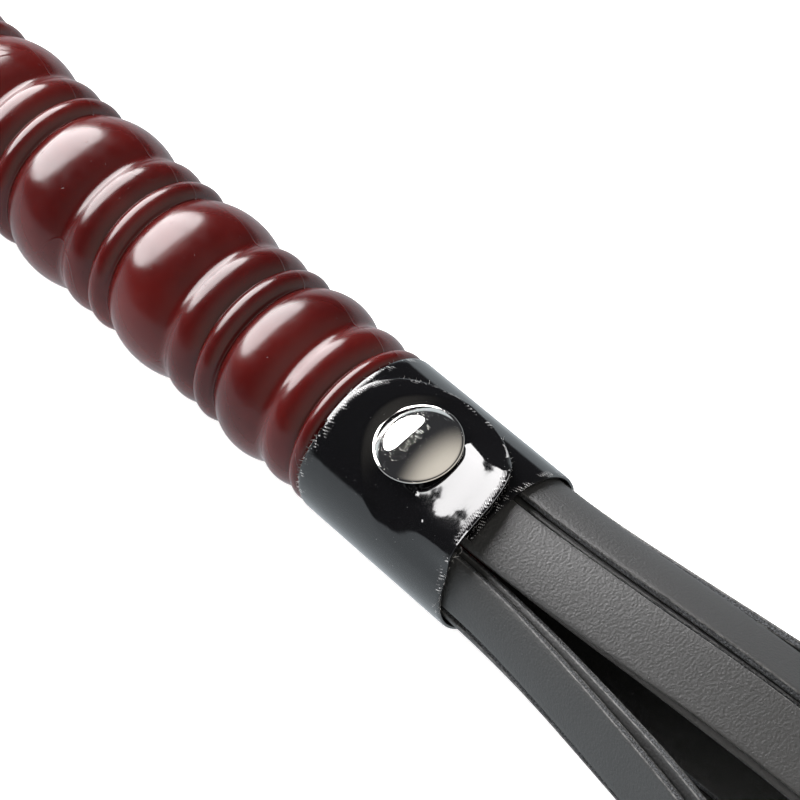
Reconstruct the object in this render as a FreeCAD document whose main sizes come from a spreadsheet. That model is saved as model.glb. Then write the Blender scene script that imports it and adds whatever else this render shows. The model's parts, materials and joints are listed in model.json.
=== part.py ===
import FreeCAD, Part
import math
import os
import re

import Sketcher

# A whip with many flat tails: a beaded handle moulding, a band wrapped round its spigot and pinned
# by a domed rivet, and two rings of straps that leave the band's mouth and come to rest on a table.
# The axis of the handle is the X axis. The butt face is at X = 0 and the straps run towards +X.
# Up is +Z. An angle round the axis is counted from +Z towards -Y.

FALLS = 7  # straps in each of the two rings

SIZES = {
    # the handle's turned outline
    "butt_face_radius": 8.0,
    "pommel_length": 20.0,
    "pommel_round": 14.8,
    "bead_radius": 15.55,
    "bead_length": 15.3,
    "collar_bead_length": 11.9,
    "rib_radius": 14.95,
    "rib_length": 7.1,
    "ring_radius": 14.9,
    "ring_length": 4.6,
    "collar_ring_length": 3.6,
    "cove_radius": 13.7,
    "groove_radius": 13.3,
    "repeats": 4,
    "shoulder_gap": 0.2,
    "shoulder_length": 4.0,
    "spigot_setback": 4.0,
    # the band that wraps the neck
    "band_length": 32.0,
    "band_thickness": 0.6,
    "lap_start": 35.0,
    "lap_tip": -37.0,
    "lap_begins": 288.0,
    "lap_climb": 62.0,
    "spiral_step": 6.0,
    "tongue_margin": 0.6,
    # the rivet that pins the band's tongue
    "rivet_angle": 11.2,
    "rivet_setback": 17.25,
    "cap_radius": 7.2,
    "cap_rise": 3.6,
    "cap_wall": 0.5,
    "cap_sink": 0.45,
    "nail_radius": 1.3,
    "nail_length": 10.0,
    "nail_head_radius": 4.6,
    "nail_head_thickness": 0.7,
    # the straps
    "fall_width": 10.0,
    "fall_thickness": 1.3,
    "fall_reach": 398.0,
    "root_gap": 0.55,
    "root_length": 27.5,
    "binding_thickness": 0.3,
    "binding_length": 20.0,
    "first_fall_angle": 19.0,
    # how the straps settle
    "landing": 200.0,
    "landing_share": 0.25,
    "sinking": 1.3,
    "twist_start": 45.0,
    "twist_length": 145.0,
    "flattening": 50.0,
    "flattest": 0.985,
    "leaving": 15.0,
    "fan_start": 40.0,
    "fan_length": 80.0,
    "offset_length": 60.0,
    "hinge_offset": 1.0,
    "free_start": 1.8,
    "loft_step": 19.8,
    # clearances
    "layer_gap": 0.05,
    "nail_clearance": 0.1,
    "table_gap": 0.05,
}

# For each strap position round the ring: how fast it drifts sideways where it leaves the mouth, how
# fast it does once it has joined the fan, and how far the inner strap lies off the outer one. All are
# in strap widths, the first two for each metre of strap.
SETTLING = [
    (13.0, 4.549, -0.10),
    (-13.0, -20.886, 0.20),
    (-12.0, -8.617, 0.10),
    (3.0, -6.665, -0.25),
    (10.0, 15.109, 0.05),
    (13.0, 23.736, 0.10),
    (10.0, 9.106, 0.03),
]

V = FreeCAD.Vector
doc = FreeCAD.newDocument("many_tailed_whip")
sheet = doc.addObject("Spreadsheet::Sheet", "Sizes")


def fill_sheet():
    """One row per size: its name, its value, and the value's alias."""
    rows = dict(SIZES)
    for number, (slope, fan, offset) in enumerate(SETTLING, 1):
        rows[f"slope_of_fall_{number}_"] = slope
        rows[f"fan_of_fall_{number}_"] = fan
        rows[f"offset_of_fall_{number}_"] = offset
    for row, (name, value) in enumerate(rows.items(), 1):
        sheet.set(f"A{row}", name)
        sheet.set(f"B{row}", str(value))
        sheet.setAlias(f"B{row}", name)
    doc.recompute()


fill_sheet()


def size(name):
    """A size as the sheet holds it."""
    return float(getattr(sheet, name))


def cells(words):
    """An expression written in plain size names, as an expression on the sheet."""
    return re.sub(r"[a-z_]+", lambda word: "Sizes." * (word.group(0) in SIZES) + word.group(0), words)


def number(words):
    """What an expression on the sheet is worth."""
    return float(doc.Sizes.evalExpression(cells(words)))


# Places along the axis, and radii of the layers under the band, as expressions on the sheet.
PITCH = "(bead_length + rib_length + ring_length)"
FIRST_UNIT = "(pommel_length + rib_length + ring_length)"
NECK = f"({FIRST_UNIT} + repeats * {PITCH})"
BAND_START = f"({NECK} + collar_bead_length + rib_length + collar_ring_length)"
MOUTH = f"({BAND_START} + band_length)"
RING_OF_FALLS = f"({FALLS} * (fall_width + root_gap) / (2 * pi))"
SPIGOT = f"({RING_OF_FALLS} - fall_thickness / 2 - 2 * layer_gap)"
INNER_FALL = f"({SPIGOT} + 2 * layer_gap)"
INNER_BINDING = f"({INNER_FALL} + fall_thickness + layer_gap)"
OUTER_FALL = f"({INNER_BINDING} + binding_thickness + layer_gap)"
OUTER_BINDING = f"({OUTER_FALL} + fall_thickness + layer_gap)"
BAND_INSIDE = f"({OUTER_BINDING} + binding_thickness + layer_gap)"
BAND_OUTSIDE = f"({BAND_INSIDE} + band_thickness)"
SHOULDER = f"({BAND_INSIDE} - shoulder_gap)"
RIVET_X = f"({MOUTH} - rivet_setback)"
RIVET_SEAT = f"({BAND_OUTSIDE} + band_thickness - cap_sink)"


def plane(body, role):
    """One of a body's own origin planes."""
    return next(o for o in body.Origin.OriginFeatures if o.Role == role)


def upward_arc(one, other, radius):
    """The arc between two points that bulges up, drawn anticlockwise, so from right to left."""
    left, right = sorted((one, other), key=lambda point: point.x)
    chord = right - left
    rise = radius - math.sqrt(radius**2 - chord.Length**2 / 4)
    top = (left + right) / 2 + V(-chord.y, chord.x, 0).normalize() * rise
    return Part.Arc(right, top, left)


def pin(sketch, edge, point, axis, words):
    """Hold one coordinate of a point of the sketch at a size."""
    direction, line = ("DistanceX", -2) if axis == 0 else ("DistanceY", -1)
    if words == "0":
        sketch.addConstraint(Sketcher.Constraint("PointOnObject", edge, point, line))
        return
    held = Sketcher.Constraint(direction, -1, 1, edge, point, number(words))
    index = sketch.addConstraint(held)
    sketch.setExpression(f"Constraints[{index}]", cells(words))


def outline(body, name, corners):
    """A closed outline on the XZ plane. A corner is (along, up, radius of the arc that follows or None)."""
    sketch = body.newObject("Sketcher::SketchObject", name)
    sketch.AttachmentSupport = (plane(body, "XZ_Plane"), [""])
    sketch.MapMode = "FlatFace"
    points = [V(number(along), number(up), 0) for along, up, _ in corners]
    ends = []
    for index, (_, _, radius) in enumerate(corners):
        start, end = points[index], points[(index + 1) % len(points)]
        if radius:
            edge = sketch.addGeometry(upward_arc(start, end, number(radius)), False)
            ends.append((edge, 2, 1) if start.x < end.x else (edge, 1, 2))
        else:
            edge = sketch.addGeometry(Part.LineSegment(start, end), False)
            ends.append((edge, 1, 2))
    for index, (along, up, radius) in enumerate(corners):
        edge, first, last = ends[index]
        following, joined, _ = ends[(index + 1) % len(ends)]
        sketch.addConstraint(Sketcher.Constraint("Coincident", edge, last, following, joined))
        pin(sketch, edge, first, 0, along)
        pin(sketch, edge, first, 1, up)
        if radius:
            held = sketch.addConstraint(Sketcher.Constraint("Radius", edge, number(radius)))
            sketch.setExpression(f"Constraints[{held}]", cells(radius))
    doc.recompute()
    return sketch


def turned(body, sketch, axis, name):
    """A full turn of a sketch about its own horizontal or vertical axis."""
    feature = body.newObject("PartDesign::Revolution", name)
    feature.Profile = sketch
    feature.ReferenceAxis = (sketch, [axis])
    feature.Angle = 360
    doc.recompute()
    return feature


def arc_radius(length, top, low, high):
    """The radius of the arc over a bead: its length, its top, and the radii that it springs from."""
    rise = f"({top} - ({low} + {high}) / 2)"
    chord_squared = f"({length} * {length} + ({high} - {low}) * ({high} - {low}))"
    return f"(({chord_squared} / 4 + {rise} * {rise}) / (2 * {rise}))"


def bead_rib_ring(start, bead, rib, ring):
    """The corners of one bead, one rib and one ring, side by side, from start on."""
    cove, groove = "cove_radius", "groove_radius"
    after_bead = f"({start} + {bead})"
    after_rib = f"({after_bead} + {rib})"
    return [
        (start, groove, arc_radius(bead, "bead_radius", groove, cove)),
        (after_bead, cove, arc_radius(rib, "rib_radius", cove, groove)),
        (after_rib, groove, arc_radius(ring, "ring_radius", groove, groove)),
        (f"({after_rib} + {ring})", groove, None),
    ]


def handle_turning():
    """The moulded handle: pommel, repeats of bead, rib and ring, then the neck with its spigot."""
    body = doc.addObject("PartDesign::Body", "HandleTurning")
    pommel = bead_rib_ring("0", "pommel_length", "rib_length", "ring_length")
    pommel[0] = ("0", "butt_face_radius", "pommel_round")
    corners = [("0", "0", None), *pommel, (FIRST_UNIT, "0", None)]
    turned(body, outline(body, "PommelOutline", corners), "H_Axis", "Pommel")

    unit = bead_rib_ring(FIRST_UNIT, "bead_length", "rib_length", "ring_length")
    end = f"({FIRST_UNIT} + {PITCH})"
    corners = [(FIRST_UNIT, "0", None), *unit, (end, "0", None)]
    repeated = turned(body, outline(body, "UnitOutline", corners), "H_Axis", "Unit")
    pattern = body.newObject("PartDesign::LinearPattern", "Units")
    pattern.Originals = [repeated]
    pattern.Direction = (plane(body, "X_Axis"), [""])
    pattern.setExpression("Length", cells(f"{PITCH} * (repeats - 1)"))
    pattern.setExpression("Occurrences", cells("repeats"))
    body.Tip = pattern
    doc.recompute()

    neck = bead_rib_ring(NECK, "collar_bead_length", "rib_length", "collar_ring_length")
    shoulder_end = f"({BAND_START} + shoulder_length)"
    spigot_end = f"({MOUTH} - spigot_setback)"
    corners = [(NECK, "0", None), *neck]
    corners += [(BAND_START, SHOULDER, None), (shoulder_end, SHOULDER, None)]
    corners += [(shoulder_end, SPIGOT, None), (spigot_end, SPIGOT, None)]
    corners += [(spigot_end, "0", None)]
    turned(body, outline(body, "NeckOutline", corners), "H_Axis", "Neck")
    return body


def cylinder(name, radius, height):
    """A cylinder primitive bound to the sheet."""
    solid = doc.addObject("Part::Cylinder", name)
    solid.setExpression("Radius", cells(radius))
    solid.setExpression("Height", cells(height))
    return solid


def along_axis(solid, start):
    """Lay a cylinder along the X axis, from start on."""
    solid.Placement = FreeCAD.Placement(V(0, 0, 0), FreeCAD.Rotation(V(0, 1, 0), 90))
    solid.setExpression(".Placement.Base.x", cells(start))
    return solid


def on_rivet_axis(solid, height):
    """Stand a piece on the rivet's axis, its own origin at a height from the handle's axis."""
    solid.Placement = FreeCAD.Placement(V(0, 0, 0), FreeCAD.Rotation(V(1, 0, 0), 1))
    solid.setExpression(".Placement.Rotation.Angle", cells("rivet_angle"))
    solid.setExpression(".Placement.Base.x", cells(RIVET_X))
    solid.setExpression(".Placement.Base.y", cells(f"-({height}) * sin(rivet_angle * 1 deg)"))
    solid.setExpression(".Placement.Base.z", cells(f"({height}) * cos(rivet_angle * 1 deg)"))
    return solid


def cut(name, base, tool):
    """base with tool taken away."""
    solid = doc.addObject("Part::Cut", name)
    solid.Base = base
    solid.Tool = tool
    return solid


def binding(name, inside, bore):
    """A thin turn of thread round one ring of straps, with the nail's hole through it."""
    start = f"({MOUTH} - spigot_setback - binding_length)"
    outer = along_axis(cylinder(name + "Outer", f"{inside} + binding_thickness", "binding_length"), start)
    inner = along_axis(cylinder(name + "Inner", inside, "binding_length"), start)
    return cut(name, cut(name + "Sleeve", outer, inner), bore)


def ease(share):
    """From 0 to 1 with no slope at either end."""
    share = min(max(share, 0.0), 1.0)
    return share * share * (3 - 2 * share)


def radial(angle):
    """The unit vector out from the axis at an angle."""
    turn = math.radians(angle)
    return V(0, -math.sin(turn), math.cos(turn))


def tangent(angle):
    """The unit vector across a strap that faces out at an angle."""
    turn = math.radians(angle)
    return V(0, math.cos(turn), math.sin(turn))


class Fall:
    """Where one pair of straps lies: an inner strap, and an outer strap on it."""

    def __init__(self, place):
        self.place = place
        self.angle = size("first_fall_angle") + place * 360 / FALLS
        width = size("fall_width")
        self.slope = size(f"slope_of_fall_{place + 1}_") * width / 1000
        self.fan = size(f"fan_of_fall_{place + 1}_") * width / 1000
        self.offset = size(f"offset_of_fall_{place + 1}_") * width
        self.inner_radius = number(INNER_FALL) + size("fall_thickness") / 2
        self.outer_radius = number(OUTER_FALL) + size("fall_thickness") / 2
        self.start = radial(self.angle) * (self.inner_radius + self.outer_radius) / 2
        self.table = -max(size("bead_radius"), number(BAND_OUTSIDE))
        self.rest_angle = 180 * round(self.angle / 180)
        self.height = self.start.z - self.table - self.depth(self.angle, 0)
        highest = (self.inner_radius + self.outer_radius) / 2 - self.table
        self.landing = size("landing") * (max(self.height, 1.0) / highest) ** size("landing_share")

    def depth(self, angle, offset):
        """How far the pair reaches below its middle when it faces out at an angle."""
        turn = math.radians(angle)
        thick = self.outer_radius - self.inner_radius + size("fall_thickness")
        lift = max(-offset * math.sin(turn), 0.0)
        return size("fall_width") / 2 * abs(math.sin(turn)) + thick / 2 * abs(math.cos(turn)) + lift

    def sideways(self, along):
        """Where the pair is across the table: first along its own slope, then out to its place in the fan."""
        leaving = size("leaving")
        sloping = self.slope * (along - leaving * (1 - math.exp(-along / leaving)))
        share = ease((along - size("fan_start")) / size("fan_length"))
        return self.start.y + sloping + (self.fan * along - sloping) * share

    def frame(self, along):
        """The middle of the pair, the angle it faces and the inner strap's offset, at a distance along."""
        twist = ease((along - size("twist_start")) / size("twist_length"))
        angle = self.angle + (self.rest_angle - self.angle) * twist
        offset = self.offset * ease(along / size("offset_length"))
        drop = ease((max(along, 0) / self.landing) ** size("sinking"))
        low = self.height * (1 - drop) + size("table_gap") * drop
        y = self.sideways(max(along, 0))
        z = self.table + low + self.depth(angle, offset)
        return V(0, y, z), angle, offset

    def section(self, along, ring):
        """The strap's outline across its length: round at the mouth, flat further out."""
        middle, angle, offset = self.frame(along)
        gap = (self.outer_radius - self.inner_radius) / 2
        flat = size("flattest") * ease(along / size("flattening"))
        if ring == "outer":
            middle, radius, offset = middle + radial(angle) * gap, self.outer_radius, 0
        else:
            middle, radius = middle - radial(angle) * gap, self.inner_radius
        radius = radius / (1 - flat)
        x = number(MOUTH) + along
        half = size("fall_width") / 2 / radius

        def point(turn, rise):
            out = radial(angle) * ((radius + rise) * math.cos(turn) - radius)
            across = tangent(angle) * ((radius + rise) * math.sin(turn) + offset)
            return V(x, 0, 0) + middle + across + out

        rise = size("fall_thickness") / 2
        outside = Part.Arc(point(-half, rise), point(0, rise), point(half, rise)).toShape()
        inside = Part.Arc(point(half, -rise), point(0, -rise), point(-half, -rise)).toShape()
        right = Part.makeLine(point(half, rise), point(half, -rise))
        left = Part.makeLine(point(-half, -rise), point(-half, rise))
        return Part.Wire([outside, right, inside, left])

    def free_length(self, ring):
        """The strap from just outside the mouth to its tip."""
        start = size("free_start")
        spans = round((size("fall_reach") - start) / size("loft_step"))
        step = (size("fall_reach") - start) / spans
        return Part.makeLoft([self.section(start + step * n, ring) for n in range(spans + 1)], True, False)

    def root(self, ring):
        """The clamped end of the strap, straight, under the band."""
        ends = [self.section(-size("root_length"), ring), self.section(0, ring)]
        return Part.makeLoft(ends, True, True)


def feature(name, shape):
    """A solid made here from the sheet's sizes."""
    solid = doc.addObject("Part::Feature", name)
    solid.Shape = shape
    solid.Placement = FreeCAD.Placement()
    return solid


def spiral(radius, climb, last):
    """A curve round the axis from the band's hidden end to an angle, stepping out where it laps itself."""
    points, steps = [], int(last / size("spiral_step"))
    for step in range(steps + 1):
        turn = last * step / steps
        out = radius + climb * ease((turn - size("lap_begins")) / size("lap_climb"))
        points.append(radial(size("lap_start") - turn) * out)
    curve = Part.BSplineCurve()
    curve.interpolate(points)
    return curve.toShape()


def tongue_waste():
    """What is cut off the lapping end of the strip to leave a half-round tongue."""
    length, top = size("band_length"), number(BAND_OUTSIDE) + size("band_thickness")
    half = length / 2 - size("tongue_margin")
    facing = size("lap_tip") + math.degrees(half / top) / 2
    centre = top * math.sin(math.radians(facing - size("lap_tip"))) - half
    square = Part.makeBox(length + 2, 2 * top, 2 * top, V(-length / 2 - 1, centre, 0))
    waste = square.cut(Part.makeCylinder(half, 2 * top, V(0, centre, 0)))
    waste.rotate(V(0, 0, 0), V(1, 0, 0), facing)
    waste.translate(V(number(BAND_START) + length / 2, 0, 0))
    base_turn = number(BAND_OUTSIDE) + size("layer_gap") / 2
    return waste.cut(Part.makeCylinder(base_turn, 2 * length, V(number(BAND_START) - 1, 0, 0), V(1, 0, 0)))


def band():
    """The band: one strip wrapped a turn and a fifth, its outer end a rounded tongue."""
    inside, outside = number(BAND_INSIDE), number(BAND_OUTSIDE)
    last = 360 + size("lap_start") - size("lap_tip")
    climb = size("band_thickness") + size("layer_gap")
    inner, outer = spiral(inside, climb, last), spiral(outside, climb, last)
    near = Part.makeLine(inner.Vertexes[0].Point, outer.Vertexes[0].Point)
    far = Part.makeLine(outer.Vertexes[-1].Point, inner.Vertexes[-1].Point)
    face = Part.Face(Part.Wire([near, outer, far, inner]))
    face.translate(V(number(BAND_START), 0, 0))
    strip = face.extrude(V(size("band_length"), 0, 0))
    return feature("BandStrip", strip.cut(tongue_waste()))


def rivet_cap():
    """A thin domed shell that stands on the band."""
    body = doc.addObject("PartDesign::Body", "RivetCap")
    dome = "((cap_radius * cap_radius + cap_rise * cap_rise) / (2 * cap_rise))"
    hollow = f"({dome} - cap_wall)"
    rim = f"sqrt({hollow} * {hollow} - ({dome} - cap_rise) * ({dome} - cap_rise))"
    corners = [
        ("0", "cap_rise", dome),
        ("cap_radius", "0", None),
        (rim, "0", hollow),
        ("0", "cap_rise - cap_wall", None),
    ]
    turned(body, outline(body, "CapOutline", corners), "V_Axis", "Cap")
    return on_rivet_axis(body, RIVET_SEAT)


def rivet_nail():
    """The nail under the cap: a flat head inside the dome, and a pointed shank down into the spigot."""
    body = doc.addObject("PartDesign::Body", "RivetNail")
    corners = [
        ("0", "nail_head_thickness", None),
        ("nail_head_radius", "nail_head_thickness", None),
        ("nail_head_radius", "layer_gap", None),
        ("nail_radius", "layer_gap", None),
        ("nail_radius", "2 * nail_radius - nail_length", None),
        ("0", "-nail_length", None),
    ]
    turned(body, outline(body, "NailOutline", corners), "V_Axis", "Nail")
    return on_rivet_axis(body, RIVET_SEAT)


def build():
    """Every piece, as a dictionary of node name to document object."""
    bore = cylinder("NailBore", "nail_radius + nail_clearance", "2 * nail_length")
    on_rivet_axis(bore, f"{RIVET_SEAT} - 1.1 * nail_length")
    dimple = cylinder("CapDimple", "cap_radius + nail_clearance", "cap_radius")
    on_rivet_axis(dimple, RIVET_SEAT)
    falls = [Fall(place) for place in range(FALLS)]
    outer_roots = feature("OuterRootStubs", Part.makeCompound([fall.root("outer") for fall in falls]))
    inner_roots = feature("InnerRootStubs", Part.makeCompound([fall.root("inner") for fall in falls]))
    pieces = {
        "handle": cut("Handle", handle_turning(), bore),
        "inner_binding": binding("InnerBinding", INNER_BINDING, bore),
        "outer_binding": binding("OuterBinding", OUTER_BINDING, bore),
        "collar_band": cut("CollarBand", cut("DimpledBand", band(), dimple), bore),
        "rivet_cap": rivet_cap(),
        "rivet_nail": rivet_nail(),
        "outer_fall_roots": cut("OuterRoots", outer_roots, bore),
        "inner_fall_roots": cut("InnerRoots", inner_roots, bore),
    }
    for fall in falls:
        for ring in ("outer", "inner"):
            name = f"{ring}_fall_{fall.place + 1}"
            pieces[name] = feature(name, fall.free_length(ring))
    return pieces


def check(pieces):
    """Stop if anything in the document failed, or if a piece isn't a whole solid."""
    for thing in doc.Objects:
        if {"Invalid", "Error"} & set(thing.State):
            raise RuntimeError(f"{thing.Name} didn't compute: {thing.State}")
    for name, piece in pieces.items():
        if piece.Shape.isNull() or not piece.Shape.isValid():
            raise RuntimeError(f"{name} isn't a valid solid")


def export(pieces):
    """Write each piece to its own file."""
    os.makedirs("parts", exist_ok=True)
    for name, piece in pieces.items():
        piece.Label = name
        piece.Shape.exportStep(f"parts/{name}.step")
        box = piece.Shape.BoundBox
        print(f"{name}: {len(piece.Shape.Solids)} solids, {piece.Shape.Volume:.1f} mm3")
        print(f"  X {box.XMin:.1f} to {box.XMax:.1f}, Y {box.YMin:.1f} to {box.YMax:.1f}", end=", ")
        print(f"Z {box.ZMin:.2f} to {box.ZMax:.2f}")


pieces = build()
doc.recompute()
check(pieces)
export(pieces)
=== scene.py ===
# %% [markdown]
# # A many-tailed riding whip
# This notebook dresses a finished CAD model of a short whip with seven pairs of flat straps. The CAD
# model says where everything is and how it moves. Blender adds what makes it look real: glossy
# moulded plastic, patent material with a frayed edge, a polished rivet, and grained straps.
# We start by loading the CAD model.

# %% Load the fixed frame
import json
import math

import bpy
import numpy as np
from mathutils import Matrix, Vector


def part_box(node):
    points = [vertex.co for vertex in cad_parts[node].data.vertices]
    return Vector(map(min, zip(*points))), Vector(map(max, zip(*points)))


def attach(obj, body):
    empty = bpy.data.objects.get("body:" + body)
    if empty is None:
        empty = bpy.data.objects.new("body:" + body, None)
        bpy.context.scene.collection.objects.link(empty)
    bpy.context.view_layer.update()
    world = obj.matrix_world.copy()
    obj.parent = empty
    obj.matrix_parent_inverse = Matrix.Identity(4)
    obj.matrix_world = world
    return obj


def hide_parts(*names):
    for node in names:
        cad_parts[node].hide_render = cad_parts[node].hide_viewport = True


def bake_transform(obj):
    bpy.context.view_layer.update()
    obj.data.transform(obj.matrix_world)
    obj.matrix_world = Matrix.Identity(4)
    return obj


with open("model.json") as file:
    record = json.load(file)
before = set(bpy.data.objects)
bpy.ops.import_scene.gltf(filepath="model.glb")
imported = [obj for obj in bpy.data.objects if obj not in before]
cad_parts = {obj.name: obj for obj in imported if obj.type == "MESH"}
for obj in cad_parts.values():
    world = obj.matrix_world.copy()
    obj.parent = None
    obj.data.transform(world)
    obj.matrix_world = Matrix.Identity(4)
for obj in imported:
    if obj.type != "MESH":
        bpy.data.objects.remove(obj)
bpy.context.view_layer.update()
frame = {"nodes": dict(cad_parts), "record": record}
MM = 0.001
BODY_OF = {node: body for body, nodes in frame["record"]["behaviour"]["bodies"].items() for node in nodes}

# %% [markdown]
# The handle lies along the X axis, its butt at X = 0, and the straps run towards +X. Everything that
# we make is placed from the CAD boxes: the band's box gives the neck and the mouth, and the lowest
# point of the beads gives the table.

# %% Measure the frame
band_low, band_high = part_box("collar_band")
NECK, MOUTH = band_low.x, band_high.x
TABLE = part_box("handle")[0].z
print("neck", round(NECK / MM, 1), "mouth", round(MOUTH / MM, 1), "table", round(TABLE / MM, 2))


def radial(angle):
    """The unit vector out from the handle's axis. Angles are in degrees from +Z towards -Y."""
    turn = math.radians(angle)
    return np.array([0.0, -math.sin(turn), math.cos(turn)])


def tangent(angle):
    """The unit vector across a strap that faces out at an angle."""
    turn = math.radians(angle)
    return np.array([0.0, math.cos(turn), math.sin(turn)])


def ease(share):
    """From 0 to 1 with no slope at either end."""
    share = np.clip(share, 0, 1)
    return share * share * (3 - 2 * share)


# %% [markdown]
# The camera stands in front and to the right of the mouth, high above the table, with a long lens.
# A long lens keeps the beads nearly the same size from one end of the view to the other.

# %% Set up the camera
AZIMUTH, ELEVATION = math.radians(46.1), math.radians(53.2)
RIGHT = Vector((math.cos(AZIMUTH), math.sin(AZIMUTH), 0))
AWAY = Vector((math.sin(AZIMUTH), -math.cos(AZIMUTH), 0))
BACK = AWAY * math.cos(ELEVATION) + Vector((0, 0, math.sin(ELEVATION)))
UP = BACK.cross(RIGHT)
camera_data = bpy.data.cameras.new("camera")
camera_data.lens, camera_data.sensor_width = 109.1, 36
camera_data.clip_start = 0.01
camera = bpy.data.objects.new("camera", camera_data)
bpy.context.scene.collection.objects.link(camera)
camera.location = Vector((MOUTH, 0, 0)) - 0.0169 * RIGHT + 0.0240 * UP + 0.379 * BACK
camera.rotation_mode = "QUATERNION"
camera.rotation_quaternion = (-BACK).to_track_quat("-Z", "Y")
bpy.context.scene.camera = camera
bpy.context.scene.view_settings.view_transform = "Standard"
print("camera at", [round(v, 3) for v in camera.location])

# %% [markdown]
# Nearly every piece here is a strip or a turned form: one outline carried along a path. So one
# helper, a loft, makes them all. It takes rings of points, joins each ring to the next with
# four-sided faces, closes both ends, and stores a map of the surface in millimetres, along the
# piece and round it, for the materials to use.


# %% The loft helper
def make_mesh(name, points, faces, map_points=None):
    """A smooth mesh object from points and faces, with its map, its normals facing out."""
    mesh = bpy.data.meshes.new(name)
    mesh.from_pydata([tuple(p) for p in points], [], faces)
    if map_points is not None:
        layer = mesh.uv_layers.new(name="map")
        layer.data.foreach_set("uv", np.asarray(map_points, np.float32).ravel())
    mesh.polygons.foreach_set("use_smooth", [True] * len(mesh.polygons))
    mesh.set_sharp_from_angle(angle=math.radians(48))
    thing = bpy.data.objects.new(name, mesh)
    bpy.context.scene.collection.objects.link(thing)
    return thing


def loft(name, rings, along, around, caps=True):
    """A closed surface through rings of points. along and around are its map, in millimetres."""
    rings = np.asarray(rings, float)
    stations, sides, _ = rings.shape
    points = rings.reshape(-1, 3)
    i, j = np.meshgrid(np.arange(stations - 1), np.arange(sides), indexing="ij")
    k = (j + 1) % sides
    quads = np.stack([i * sides + j, i * sides + k, (i + 1) * sides + k, (i + 1) * sides + j], axis=-1)
    along, around = np.asarray(along, float), np.asarray(around, float)
    u = np.stack([along[i], along[i], along[i + 1], along[i + 1]], axis=-1)
    v = np.stack([around[j], around[j + 1], around[j + 1], around[j]], axis=-1)
    quads, maps = quads.reshape(-1, 4), np.stack([u, v], axis=-1).reshape(-1, 4, 2)
    centre = points.mean(0)
    a, b, c = (points[quads[:, n]] - centre for n in range(3))
    inward = np.einsum("ij,ij->i", a, np.cross(b, c)).sum() < 0
    if inward:
        quads, maps = quads[:, ::-1], maps[:, ::-1]
    faces, map_points = quads.tolist(), maps.reshape(-1, 2).tolist()
    if caps:
        first, last = list(range(sides)), list(range((stations - 1) * sides, stations * sides))
        ends = [(first[::-1], along[0]), (last, along[-1])]
        for loop, u_end in ends:
            loop = loop[::-1] if inward else loop
            faces.append(loop)
            map_points += [[u_end, around[n % sides]] for n in loop]
    return make_mesh(name, points, faces, map_points)


# %% [markdown]
# Materials are node trees, and a few short helpers keep them readable. `add` makes a node and fills
# its inputs: a plain value is set on the input, and another node's output is linked to it.


# %% Material helpers
def new_material(name):
    """An empty material with its Principled shader, ready for nodes."""
    material = bpy.data.materials.new(name)
    material.use_nodes = True
    tree = material.node_tree
    return material, tree, tree.nodes["Principled BSDF"]


def add(tree, kind, inputs=None, **settings):
    """A node of a kind, with its settings and its inputs by name or number."""
    node = tree.nodes.new("ShaderNode" + kind)
    for name, value in settings.items():
        setattr(node, name, value)
    fill(tree, node, inputs or {})
    return node


def fill(tree, node, inputs):
    """Set or link a node's inputs."""
    for name, value in inputs.items():
        if isinstance(value, bpy.types.NodeSocket):
            tree.links.new(value, node.inputs[name])
        else:
            node.inputs[name].default_value = value


def maths(tree, operation, *values):
    """The output of a Math node."""
    node = add(tree, "Math", dict(enumerate(values)), operation=operation)
    return node.outputs[0]


def ramp(tree, value, low, high, to_low=0.0, to_high=1.0):
    """A value stretched smoothly from one range to another."""
    node = add(tree, "MapRange", interpolation_type="SMOOTHSTEP")
    fill(tree, node, {0: value, 1: low, 2: high, 3: to_low, 4: to_high})
    return node.outputs[0]


def blend_colours(tree, share, first, second):
    """A colour between two, by a share from 0 to 1."""
    node = add(tree, "Mix", data_type="RGBA")
    fill(tree, node, {0: share, 6: first, 7: second})
    return node.outputs[2]


def bump(tree, height, distance, under=None):
    """A bump whose full height is a distance in metres, on top of another bump."""
    node = add(tree, "Bump", {"Height": height, "Distance": distance, "Strength": 1.0})
    if under is not None:
        tree.links.new(under, node.inputs["Normal"])
    return node.outputs[0]


def noise(tree, where, scale, detail=2.0, roughness=0.5):
    """A noise value from about 0 to 1, at a scale in cycles per unit of the place given."""
    node = add(tree, "TexNoise", {"Vector": where, "Scale": scale, "Detail": detail, "Roughness": roughness})
    return node.outputs["Fac"]


def dress(thing, material):
    """Give a piece its material."""
    thing.data.materials.clear()
    thing.data.materials.append(material)


# %% [markdown]
# ## The handle
# The handle is one plastic moulding, turned in shape: a big bead, a soft cove, a smaller rib, a sharp
# groove, a thin ring and another groove, over and over. The plain way is to spin the CAD outline. We
# spin a finer one, because the real mould has rounded coves where light gathers, and because two
# mould halves leave a faint raised line down each side.

# %% Sizes of the turned outline
BEAD, BEAD_LENGTH = 15.55 * MM, 15.3 * MM
RIB, RIB_LENGTH = 14.95 * MM, 7.1 * MM
RING, RING_LENGTH = 14.9 * MM, 4.6 * MM
COVE, GROOVE = 13.7 * MM, 13.3 * MM
COLLAR_BEAD_LENGTH, COLLAR_RING_LENGTH = 11.9 * MM, 3.6 * MM
POMMEL_LENGTH, BUTT_FACE, POMMEL_ROUND = 20 * MM, 8 * MM, 14.8 * MM
REPEATS = 4


def arc(x, start, length, first, last, radius):
    """The height of an arc over a stretch of the axis, between the radii at its two ends."""
    chord = math.hypot(length, last - first)
    middle = np.array([start + length / 2, (first + last) / 2])
    across = np.array([-(last - first), length]) / chord
    centre = middle - across * math.sqrt(radius**2 - chord**2 / 4)
    return centre[1] + np.sqrt(np.maximum(radius**2 - (x - centre[0]) ** 2, 0))


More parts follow.
